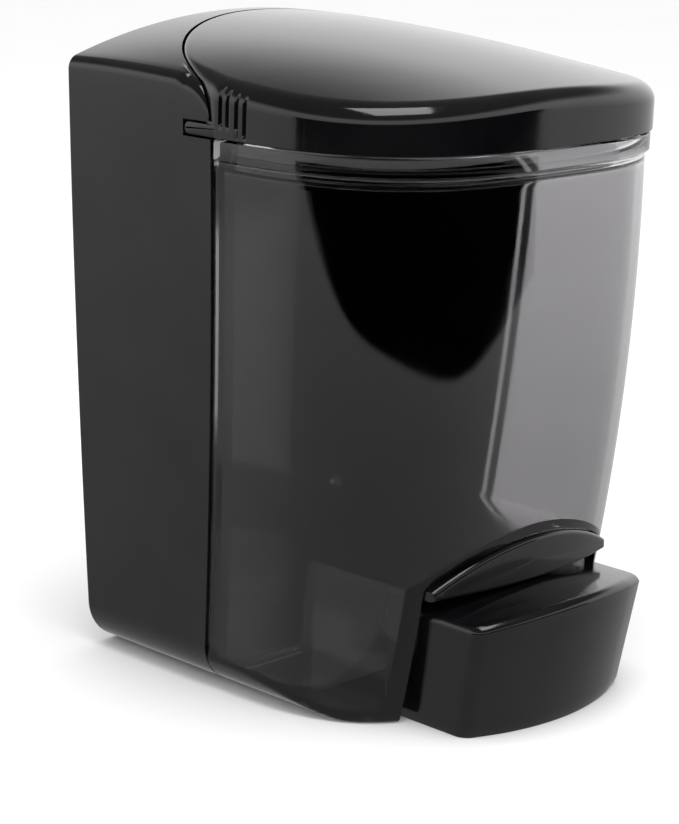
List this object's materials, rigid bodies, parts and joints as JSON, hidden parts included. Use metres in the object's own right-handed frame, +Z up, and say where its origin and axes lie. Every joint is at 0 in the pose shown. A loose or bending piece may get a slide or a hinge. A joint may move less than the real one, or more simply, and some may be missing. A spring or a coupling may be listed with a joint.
{
  "type": "wall mounted soap dispenser",
  "caption": "Wall mounted push button soap dispenser: black housing and lid, smoked see-through tank, and a hand pump under an arched cover.",
  "frame": {"origin": "on the wall plane, at the centre of the four wall screw holes", "axes": "+X to the right seen from the front, +Y into the wall, +Z up"},
  "size_m": [0.1142, 0.1143, 0.1524],
  "materials": {
    "black_gloss": "moulded black ABS with a polished face",
    "smoked_clear": "smoke tinted clear styrene, polished",
    "pump_black": "black acetal",
    "black_rubber": "black silicone rubber",
    "spring_steel": "bright stainless steel"
  },
  "bodies": {
    "dispenser": {"rear_housing": "black_gloss", "pump_cover": "black_gloss", "reservoir": "smoked_clear", "pump_barrel": "pump_black", "pump_lock_nut": "pump_black", "barrel_cap": "pump_black", "nozzle": "pump_black", "nozzle_collar": "pump_black", "inlet_strainer": "pump_black", "inlet_seat": "pump_black", "ball_cage": "pump_black", "outlet_gasket": "black_rubber", "outlet_valve": "black_rubber", "return_spring": "spring_steel", "tank_screws": "spring_steel"},
    "lid": {"lid": "black_gloss"},
    "button": {"push_button": "black_gloss", "piston": "pump_black", "piston_seal": "black_rubber", "button_clip": "spring_steel"},
    "valve_ball": {"inlet_ball": "spring_steel"}
  },
  "joints": [
    {"name": "lid_slide", "type": "slide", "parent": "dispenser", "child": "lid", "axis": [0, -1, 0], "range_m": [0, 0.11]},
    {"name": "button_push", "type": "slide", "parent": "dispenser", "child": "button", "axis": [0, 1, 0], "range_m": [0, 0.0075], "stiffness_N_per_m": 800, "springref_m": -0.006, "deforming": ["return_spring"]},
    {"name": "ball_lift", "type": "slide", "parent": "dispenser", "child": "valve_ball", "axis": [0, -1, 0], "range_m": [0, 0.002]}
  ]
}
